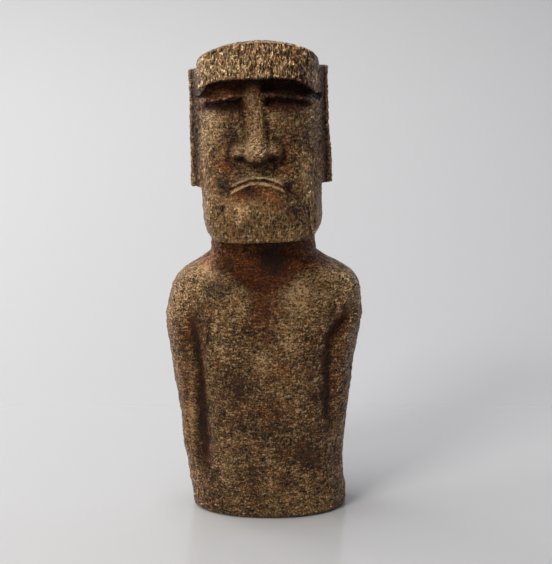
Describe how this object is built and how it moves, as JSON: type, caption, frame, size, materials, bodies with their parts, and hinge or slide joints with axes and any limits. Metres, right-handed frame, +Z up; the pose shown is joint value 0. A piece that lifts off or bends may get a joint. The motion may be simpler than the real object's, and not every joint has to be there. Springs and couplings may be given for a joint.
{
  "type": "resin moai bust",
  "caption": "Standing moai bust cast in one piece: torso with arms in low relief, neck, and long-eared head with a heavy brow, to stand on a flat surface.",
  "frame": {"origin": "on the flat underside, at the middle of the figure's width and depth", "axes": "+Z up; the face looks along -Y; +X is on the right of someone who looks at the face"},
  "size_m": [0.1578, 0.1044, 0.38],
  "materials": {
    "bronzed_resin": "cast resin, near-black base coat dry-brushed with bronze paint and a reddish glaze, satin"
  },
  "bodies": {
    "root": {"moai_bust": "bronzed_resin"}
  },
  "joints": []
}
